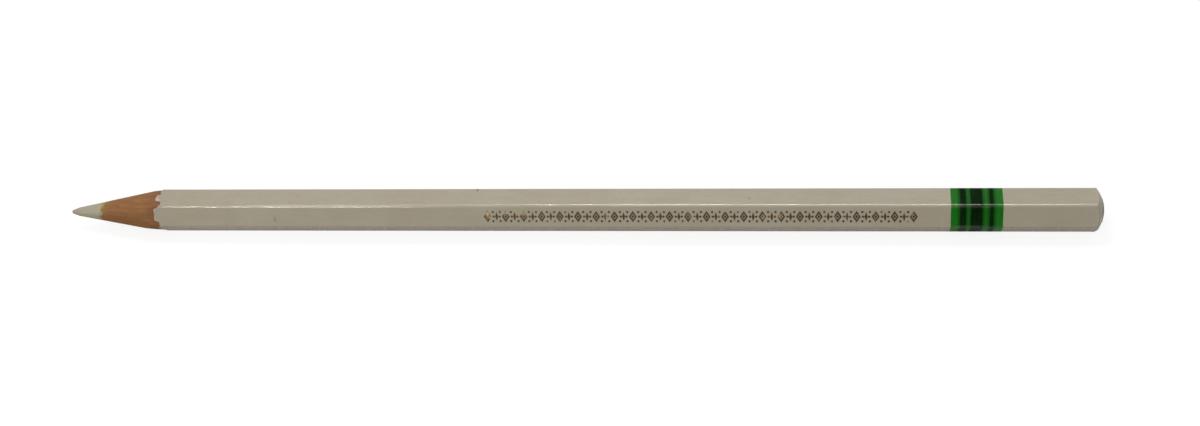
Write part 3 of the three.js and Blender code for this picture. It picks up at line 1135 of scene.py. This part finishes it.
@node_group("Hexagon Sleeve", "GeometryNodeTree")
def sleeve_tree(
    bench,
    columns=60,
    rows=4,
    row_crowding=1.0,
    tip_x=0.0,
    axis_height=3.3 * MM,
    across_flats=6.6 * MM,
    edge_radius=0.5 * MM,
    outer_depth=0.0,
    inner_depth=0.1 * MM,
    front=0.0,
    back=10 * MM,
    cone_base=0.0,
    cone_slope=0.2,
    dome_centre=1.0,
    dome_radius=4.7 * MM,
    lean=0.0,
    lean_turn=0.0,
    cut_end=20 * MM,
    tongues=0.0,
    undercoat=0.0,
    undercoat_shows=0.0,
    chipping=0.0,
    waver=0.0,
    seed=0.0,
    material=FINISH,
):
    """A thin coat round the hexagon, between two stations. Its front may end in paint tongues."""
    steps = {"Vertices X": columns * 6 + 1, "Vertices Y": rows * 2 + 3}
    grid = bench.made("GeometryNodeMeshGrid", {"Size X": 1.0, "Size Y": 1.0, **steps})
    u, v, _ = bench.split(bench.made("GeometryNodeInputPosition"))

    # Angle: the columns crowd at the rounded edges
    turn = (u + 0.5) * 6
    side = bench.math("FLOOR", turn + 1e-5)
    across = (turn - side) * 2 - 1
    angle = side * SIXTH + (across * 0.5 + across * across * across * 0.5) * TWELFTH

    # Rows go along the outside, down the back, along the inside and up the front
    row = bench.math("ROUND", (v + 0.5) * (rows * 2 + 2))
    along_row = bench.math("MINIMUM", row, rows * 2 + 1 - row) / rows
    along = bench.math("POWER", bench.clamp(along_row), row_crowding)
    inward = bench.clamp(bench.math("MINIMUM", row - rows, rows * 2 + 2 - row))

    # The front: a tongue on each flat, small teeth, and the strip of undercoat that shows
    loop = 3.3
    east = bench.math("COSINE", angle) * loop
    north = bench.math("SINE", angle) * loop

    def noise_round(shift, scale, detail, roughness=0.5):
        """Noise round the pencil, another one for each seed and shift."""
        return bench.grain(bench.join(east, north, seed + shift), scale, detail, roughness)

    coarse = noise_round(0.0, 1.2, 4.0, 0.6) - 0.5
    ragged_angle = angle + coarse * tongues * 0.22
    forward = 0.0
    for middle, half_width, lacquer, primer in TONGUES:
        off = bench.math("WRAP", ragged_angle - math.radians(middle), math.pi, -math.pi)
        inside, outside = math.radians(half_width * 0.8), math.radians(half_width * 1.2)
        tongue = bench.ramp(bench.math("ABSOLUTE", off), inside, outside, 1.0, 0.0)
        forward = tongue * bench.mix(undercoat, lacquer, primer) + forward
    teeth = noise_round(6.1, 3.2, 3.0, 0.7) - 0.5
    strip = bench.ramp(noise_round(4.2, 1.1, 3.0, 0.6), 0.35, 0.7, 0.1, 1.2)
    front = front - tongues * forward * MM + (teeth * 0.8 + coarse * 0.7) * chipping
    front = front - undercoat_shows * strip + (noise_round(1.7, 0.5, 2.0) - 0.5) * waver * 2
    back = back + (noise_round(9.4, 0.5, 2.0) - 0.5) * waver * 2

    # Both faces of the coat: on the hexagon, but no further out than the cone and the dome
    faces = []
    for depth in (outer_depth, inner_depth):
        hexagon = bench.group(
            hexagon_reach_tree,
            angle=angle,
            across_flats=across_flats,
            edge_radius=edge_radius,
            depth=depth,
        )
        reach = hexagon["Reach"]
        dome = bench.math("MAXIMUM", dome_radius * dome_radius - reach * reach, 0.0)
        end = bench.math("MINIMUM", back, dome_centre + bench.math("SQRT", dome))
        station = front + (end - front) * along
        leaning = lean * bench.clamp(1.0 - station / cut_end)
        cone = cone_base + cone_slope * station + leaning * bench.math("COSINE", angle - lean_turn)
        faces.append((station, bench.math("MINIMUM", reach, cone)))
    (outer_station, outer_reach), (inner_station, inner_reach) = faces
    station = outer_station + (inner_station - outer_station) * inward
    reach = outer_reach + (inner_reach - outer_reach) * inward
    place = bench.join(
        tip_x + station,
        reach * bench.math("COSINE", angle),
        axis_height + reach * bench.math("SINE", angle),
    )
    placed = bench.made("GeometryNodeSetPosition", {"Geometry": grid, "Position": place})
    merged = bench.made("GeometryNodeMergeByDistance", {"Geometry": placed, "Distance": 1e-6})
    return {"Geometry": bench.plain(merged, material)}


def grow(name, find_tree, **values):
    """Runs a node tree on an empty mesh and keeps its result as a plain piece."""
    tree = find_tree()
    carrier = new_object(name + " carrier", bpy.data.meshes.new(name + " carrier"))
    modifier = carrier.modifiers.new(name, "NODES")
    modifier.node_group = tree
    sockets = {
        item.name: item.identifier
        for item in tree.interface.items_tree
        if item.item_type == "SOCKET" and item.in_out == "INPUT"
    }
    for key, value in values.items():
        modifier[sockets[title(key)]] = value
    done = carrier.evaluated_get(bpy.context.evaluated_depsgraph_get())
    mesh = bpy.data.meshes.new_from_object(done)
    carrier.modifiers.remove(modifier)
    bpy.data.meshes.remove(carrier.data)
    if not mesh.polygons:
        raise RuntimeError(name + " came out empty")
    return finish_piece(name, mesh, values["material"])


def sleeve(sizes, name, slot, node, **values):
    """A coat of paint or ink in place of its solid, cut off by the cone and the dome."""
    common = {
        "tip_x": sizes.tip_x,
        "axis_height": sizes.axis_height,
        "across_flats": sizes.across_flats,
        "edge_radius": sizes.edge_radius,
        "cone_base": edge_reach(sizes) - sizes.point_length * cut_slope(sizes),
        "cone_slope": cut_slope(sizes),
        "lean": sizes.point_lean,
        "lean_turn": sizes.lean_turn,
        "cut_end": sizes.cut_end,
        "dome_centre": sizes.length - sizes.dome_radius,
        "dome_radius": sizes.dome_radius - buried(sizes),
        "seed": float(sizes.seed),
    }
    stand_for(grow(name, sleeve_tree, **{**common, **values}), slot, node)


def make_paint(sizes, colours):
    """The undercoat and the lacquer over it, flaked back from the cut."""
    shared = {
        "front": sizes.point_length - 0.12 * MM,
        "back": sizes.length,
        "tongues": 1.0,
        "columns": 110,
        "rows": 14,
        "row_crowding": 2.6,
    }
    sleeve(
        sizes,
        "primer",
        "pale_primer",
        "primer_coat",
        material=pale_primer(sizes, colours),
        outer_depth=sizes.lacquer_coat,
        inner_depth=sizes.lacquer_coat + sizes.primer_coat,
        undercoat=1.0,
        undercoat_shows=0.12 * MM,
        chipping=0.16 * MM,
        **shared,
    )
    sleeve(
        sizes,
        "lacquer",
        "white_lacquer",
        "lacquer_coat",
        material=white_lacquer(sizes, colours),
        outer_depth=0.0,
        inner_depth=sizes.lacquer_coat,
        chipping=0.3 * MM,
        **shared,
    )


def make_band(sizes, colours):
    """The green band and the three black stripes on it, a hair proud of the lacquer."""
    spans = []
    for node in STRIPES:
        low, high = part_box(node)
        spans.append((low.x - sizes.tip_x, high.x - sizes.tip_x))
    borders = [(start / MM, end / MM) for start, end in spans]
    green = printed_ink(
        sizes,
        colours,
        "Green ink",
        colours.green,
        thin=screen(40, 120, 36),
        streak=0.5,
        cover=0.35,
        gloss=0.035,
        shaded=borders,
    )
    black = printed_ink(
        sizes,
        colours,
        "Black ink",
        colours.black,
        thin=screen(8, 64, 8),
        streak=0.35,
        cover=0.62,
        gloss=0.012,
        stripes=borders,
    )
    hair = 0.007 * MM
    sleeve(
        sizes,
        "green_print",
        "green_ink",
        "green_band",
        material=green,
        columns=60,
        rows=12,
        front=BAND_LOW.x - sizes.tip_x,
        back=BAND_HIGH.x - sizes.tip_x,
        outer_depth=-hair,
        inner_depth=2 * sizes.print_film,
        waver=0.045 * MM,
    )
    for index, (node, (start, end)) in enumerate(zip(STRIPES, spans)):
        sleeve(
            sizes,
            node.replace("_stripe", "_print"),
            "black_ink",
            node,
            material=black,
            columns=60,
            rows=6,
            front=start,
            back=end,
            outer_depth=-2 * hair,
            inner_depth=sizes.print_film,
            waver=0.05 * MM,
            seed=float(sizes.seed + index + 1),
        )


# The dipped end

END_COLUMNS = 240


def make_cream_dip(sizes, colours):
    """The cream dip, with its thick, uneven rim round the hexagon."""
    angle = full_turn(END_COLUMNS)
    inside, outside = buried(sizes), sizes.spot_coat
    rim = hexagon_reach(sizes, angle, 0.0)
    thick = 1 + 0.25 * np.sin(angle * 2 + 0.8) + 0.15 * np.sin(angle * 5)
    low, high = dome_station(sizes, rim, inside), dome_station(sizes, rim, outside)
    lip = 0.02 * MM * thick
    rows = dome_rows(sizes, rim, np.linspace(0, 1, 8), inside)
    rows += [
        (low - 0.1 * MM * thick, rim + 0.002 * MM),
        (low - 0.06 * MM * thick, rim + lip * 0.8),
        (low + (high - low) * 0.25, rim + lip),
        (low + (high - low) * 0.7, rim + lip * 0.5),
    ]
    for inset, raised in ((0.04, 0.008), (0.12, 0.014), (0.2, 0.01), (0.3, 0.003)):
        reach = rim - inset * MM
        rows.append((dome_station(sizes, reach, outside) + raised * MM * thick, reach))
    rows += dome_rows(sizes, rim, np.linspace(0.84, 0, 22), outside)
    material = dipped_paint(sizes, "Cream dip", colours.dip, screen(170, 160, 132), 0.3)
    piece = capped_piece("cream_dip", sizes, angle, rows, material)
    stand_for(piece, "white_dip", "end_dip")


def make_dark_spot(sizes, colours):
    """The dark second dip, a thin cap with a ragged, rounded edge."""
    angle = full_turn(END_COLUMNS)
    coat = sizes.spot_coat
    ragged = 1 + 0.02 * np.sin(angle * 3 + 1.0) + 0.012 * np.sin(angle * 7 + 2.0)
    edge = sizes.spot_diameter / 2 * ragged
    rows = dome_rows(sizes, edge, np.linspace(0, 1, 10), coat + 0.01 * MM)
    for share, height in ((1.0, 0.3), (0.985, 0.75), (0.96, 1.0), (0.9, 1.0), (0.8, 0.95)):
        rows += dome_rows(sizes, edge, [share], coat * (1 - height))
    rows += dome_rows(sizes, edge, np.linspace(0.7, 0, 14), 0.0)
    material = dipped_paint(sizes, "Dark dip", colours.spot, screen(48, 45, 40), 0.34)
    piece = capped_piece("dark_spot", sizes, angle, rows, material)
    stand_for(piece, "dark_dip", "end_spot")


# The stamped ornament


@node_group("Foil Ornament", "GeometryNodeTree")
def ornament_tree(
    bench,
    start=0.0,
    count=16,
    pitch=4.4 * MM,
    height=1.9 * MM,
    line=0.17 * MM,
    raised=0.012 * MM,
    flat_reach=3.3 * MM,
    axis_height=3.3 * MM,
    material=FINISH,
):
    """A row of open lozenges, with a leaf and dots between them, on the upper front flat."""

    def kite(tall, wide):
        """The outline of an upright lozenge of that height and width."""
        points = {
            "Point 1": bench.join(0.0, tall * 0.5, 0.0),
            "Point 2": bench.join(wide * -0.5, 0.0, 0.0),
            "Point 3": bench.join(0.0, tall * -0.5, 0.0),
            "Point 4": bench.join(wide * 0.5, 0.0, 0.0),
        }
        return bench.made("GeometryNodeCurvePrimitiveQuadrilateral", points, mode="POINTS")

    def plate(*outlines):
        """The area between closed outlines, as a thin closed plate."""
        filled = bench.made("GeometryNodeFillCurve", {"Curve": bench.gather(outlines)})
        upright = {"Offset": (0.0, 0.0, 1.0), "Offset Scale": raised, "Individual": False}
        lifted = bench.made("GeometryNodeExtrudeMesh", {"Mesh": filled, **upright})
        under = bench.made("GeometryNodeFlipFaces", {"Mesh": filled})
        closed = bench.gather((lifted, under))
        return bench.made("GeometryNodeMergeByDistance", {"Geometry": closed, "Distance": 1e-6})

    def row(shape, shift, lift=0.0, fewer=0):
        """One copy of a shape beside each lozenge."""
        steps = {
            "Count": count - fewer,
            "Start Location": bench.join(start + pitch * shift, lift, 0.0),
            "Offset": bench.join(pitch, 0.0, 0.0),
        }
        points = bench.made("GeometryNodeMeshLine", steps)
        return bench.made("GeometryNodeInstanceOnPoints", {"Points": points, "Instance": shape})

    wide = height * 0.66
    open_lozenge = plate(kite(height, wide), kite(height - line * 3.6, wide - line * 2.4))
    small_lozenge = plate(kite(height * 0.36, height * 0.24))
    narrow_leaf = plate(kite(height * 0.8, line * 1.9))
    circle = {"Resolution": 14, "Radius": line * 0.75}
    round_dot = plate(bench.made("GeometryNodeCurvePrimitiveCircle", circle))
    rows = [row(open_lozenge, 0.0), row(small_lozenge, 0.0), row(narrow_leaf, 0.5, fewer=1)]
    rows += [row(round_dot, shift, fewer=1) for shift in (0.34, 0.66)]
    for lift in (0.4, -0.4):
        rows += [row(round_dot, shift, height * lift, 1) for shift in (0.3, 0.7)]
    flat_middle = bench.join(0.0, flat_reach * -COS_30, axis_height + flat_reach * 0.5)
    turned = {"Translation": flat_middle, "Rotation": (SIXTH, 0.0, 0.0)}
    seated = bench.made("GeometryNodeTransform", {"Geometry": bench.gather(rows), **turned})
    return {"Geometry": bench.plain(seated, material)}


def make_ornament(sizes, colours, ornament):
    sunk = 0.002 * MM
    piece = grow(
        "foil_ornament",
        ornament_tree,
        material=stamped_foil(sizes, colours),
        start=ornament.start,
        count=ornament.count,
        pitch=ornament.pitch,
        height=ornament.height,
        line=ornament.line,
        raised=ornament.raised,
        flat_reach=sizes.across_flats / 2 - sunk,
        axis_height=sizes.axis_height,
    )
    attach(piece, "root")


# Stage


def make_lamp(name, place, target, size, power, gloss_only):
    """An area lamp. One for the gloss alone shows in the coats' shine and adds no other light."""
    data = bpy.data.lights.new(name, "AREA")
    data.shape = "RECTANGLE"
    data.size, data.size_y = size
    data.energy = power
    data.color = WARM_WHITE
    light = new_object(name, data)
    aim = Vector(target) - Vector(place)
    light.matrix_world = Matrix.Translation(place) @ aim.to_track_quat("-Z", "Y").to_matrix().to_4x4()
    light.visible_diffuse = not gloss_only


def make_camera(sizes, stage):
    """Stands where the photograph was taken from: over the front, and round to the dipped end."""
    turn, lift = stage.turn, stage.lift
    along = Vector((1, 0, 0))
    up = Vector((0, math.sin(lift), math.cos(lift)))
    towards = Vector((0, -math.cos(lift), math.sin(lift)))
    right = along * math.cos(turn) - towards * math.sin(turn)
    back = along * math.sin(turn) + towards * math.cos(turn)
    off_right, off_down = 5.35 * MM, 0.51 * MM
    middle = Vector((0, 0, sizes.axis_height)) + right * off_right - up * off_down
    place = middle + back * stage.distance
    data = bpy.data.cameras.new("Camera")
    data.sensor_width = 36
    data.lens = 52.29
    data.clip_start = 0.005
    data.clip_end = 20
    camera = new_object("Camera", data)
    camera.matrix_world = Matrix.Translation(place) @ Matrix((right, up, back)).transposed().to_4x4()
    bpy.context.scene.camera = camera


def make_world(stage):
    """Even light from all round, which shows as white behind the pencil and in its gloss."""
    world = bpy.data.worlds.new("Even light")
    bpy.context.scene.world = world
    bench = clear_bench(world)
    path = bench.add("ShaderNodeLightPath")
    seen = bench.math("MAXIMUM", bench.out(path, "Is Camera Ray"), bench.out(path, "Is Glossy Ray"))
    seen = bench.math("MAXIMUM", seen, bench.out(path, "Is Transmission Ray"))
    light = bench.made("ShaderNodeBackground", {"Color": WHITE, "Strength": stage.sky})
    white = bench.made("ShaderNodeBackground", {"Color": WHITE, "Strength": 1.0})
    both = bench.made("ShaderNodeMixShader", {0: seen, 1: light, 2: white})
    bench.add("ShaderNodeOutputWorld", {"Surface": both})


def make_stage(sizes, colours, stage):
    half = 2.0
    corners = [(-half, -half, 0), (half, -half, 0), (half, half, 0), (-half, half, 0)]
    floor = new_object("floor", new_mesh("floor", corners, [(0, 1, 2, 3)]))
    floor.data.materials.append(floor_finish(colours))
    floor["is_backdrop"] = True
    middle, left_middle = (0, 0, 0), (-0.05, 0, 0)
    wide, small = (0.28, 0.05), (0.12, 0.04)
    front = (-0.232, -0.5, 0.293)
    make_lamp("Overhead", (-0.12, 0.2, 0.54), middle, wide, stage.overhead, False)
    make_lamp("Overhead shine", (0.033, 0.252, 0.54), middle, wide, stage.shine * 1.6, True)
    make_lamp("Front left", (-0.33, -0.44, 0.29), left_middle, small, stage.left, False)
    make_lamp("Front left shine", front, left_middle, small, stage.shine, True)
    make_world(stage)
    make_camera(sizes, stage)
    bpy.context.scene.view_settings.view_transform = "Standard"


# Operators and panel


def settings(context):
    return context.scene.pencil_sizes, context.scene.pencil_colours


class PENCIL_OT_core(bpy.types.Operator):
    """Builds the white core with its worn point"""

    bl_idname = "pencil.core"
    bl_label = "Core"

    def execute(self, context):
        make_core(*settings(context))
        return {"FINISHED"}


class PENCIL_OT_glue(bpy.types.Operator):
    """Builds the dried glue round the core and along the seam"""

    bl_idname = "pencil.glue"
    bl_label = "Glue"

    def execute(self, context):
        make_glue(*settings(context))
        return {"FINISHED"}


class PENCIL_OT_slats(bpy.types.Operator):
    """Builds the two grooved halves of the wooden casing"""

    bl_idname = "pencil.slats"
    bl_label = "Slats"

    def execute(self, context):
        sizes, colours = settings(context)
        upper = bare_wood(sizes, colours, "Bare wood upper", 0.9, 0.31)
        lower = bare_wood(sizes, colours, "Bare wood lower", 1.3, 5.17)
        make_slat(sizes, "upper_half", 1, upper, "upper_slat")
        make_slat(sizes, "lower_half", -1, lower, "lower_slat")
        return {"FINISHED"}


class PENCIL_OT_paint(bpy.types.Operator):
    """Builds the undercoat and the lacquer with their chipped front edges"""

    bl_idname = "pencil.paint"
    bl_label = "Paint"

    def execute(self, context):
        make_paint(*settings(context))
        return {"FINISHED"}


class PENCIL_OT_band(bpy.types.Operator):
    """Builds the printed green band and its black stripes"""

    bl_idname = "pencil.band"
    bl_label = "Printed Band"

    def execute(self, context):
        make_band(*settings(context))
        return {"FINISHED"}


class PENCIL_OT_end(bpy.types.Operator):
    """Builds the cream dip on the rounded end and the dark one on top of it"""

    bl_idname = "pencil.end"
    bl_label = "Dipped End"

    def execute(self, context):
        make_cream_dip(*settings(context))
        make_dark_spot(*settings(context))
        return {"FINISHED"}


class PENCIL_OT_ornament(bpy.types.Operator):
    """Builds the stamped ornament on the upper front flat"""

    bl_idname = "pencil.ornament"
    bl_label = "Foil Ornament"

    def execute(self, context):
        make_ornament(*settings(context), context.scene.pencil_ornament)
        return {"FINISHED"}


class PENCIL_OT_stage(bpy.types.Operator):
    """Builds the floor, the lights and the camera"""

    bl_idname = "pencil.stage"
    bl_label = "Stage"

    def execute(self, context):
        make_stage(*settings(context), context.scene.pencil_stage)
        return {"FINISHED"}


OPERATORS = (
    PENCIL_OT_core,
    PENCIL_OT_glue,
    PENCIL_OT_slats,
    PENCIL_OT_paint,
    PENCIL_OT_band,
    PENCIL_OT_end,
    PENCIL_OT_ornament,
    PENCIL_OT_stage,
)
SETTINGS = {
    "pencil_sizes": PencilSizes,
    "pencil_colours": PencilColours,
    "pencil_ornament": OrnamentSettings,
    "pencil_stage": StageSettings,
}


class PENCIL_PT_panel(bpy.types.Panel):
    """Lists the pieces of the pencil and its settings"""

    bl_idname = "PENCIL_PT_panel"
    bl_label = "Marking Pencil"
    bl_space_type = "VIEW_3D"
    bl_region_type = "UI"
    bl_category = "Pencil"

    def draw(self, context):
        buttons = self.layout.column(align=True)
        for operator in OPERATORS:
            buttons.operator(operator.bl_idname)
        for name in SETTINGS:
            box = self.layout.box()
            box.label(text=name.replace("pencil_", "").title())
            group = getattr(context.scene, name)
            for key in group.__annotations__:
                box.prop(group, key)


def register():
    for group in (*SETTINGS.values(), *OPERATORS, PENCIL_PT_panel):
        bpy.utils.register_class(group)
    for name, group in SETTINGS.items():
        setattr(bpy.types.Scene, name, PointerProperty(type=group))


def unregister():
    for name in SETTINGS:
        delattr(bpy.types.Scene, name)
    for group in (PENCIL_PT_panel, *reversed(OPERATORS), *reversed(SETTINGS.values())):
        bpy.utils.unregister_class(group)


def main():
    register()
    for operator in OPERATORS:
        getattr(bpy.ops.pencil, operator.bl_idname.split(".")[1])()
    low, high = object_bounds()
    boxes = {
        "cad": [list(CAD_LOW), list(CAD_HIGH)],
        "visual": [list(low), list(high)],
    }


if __name__ == "__main__":
    main()
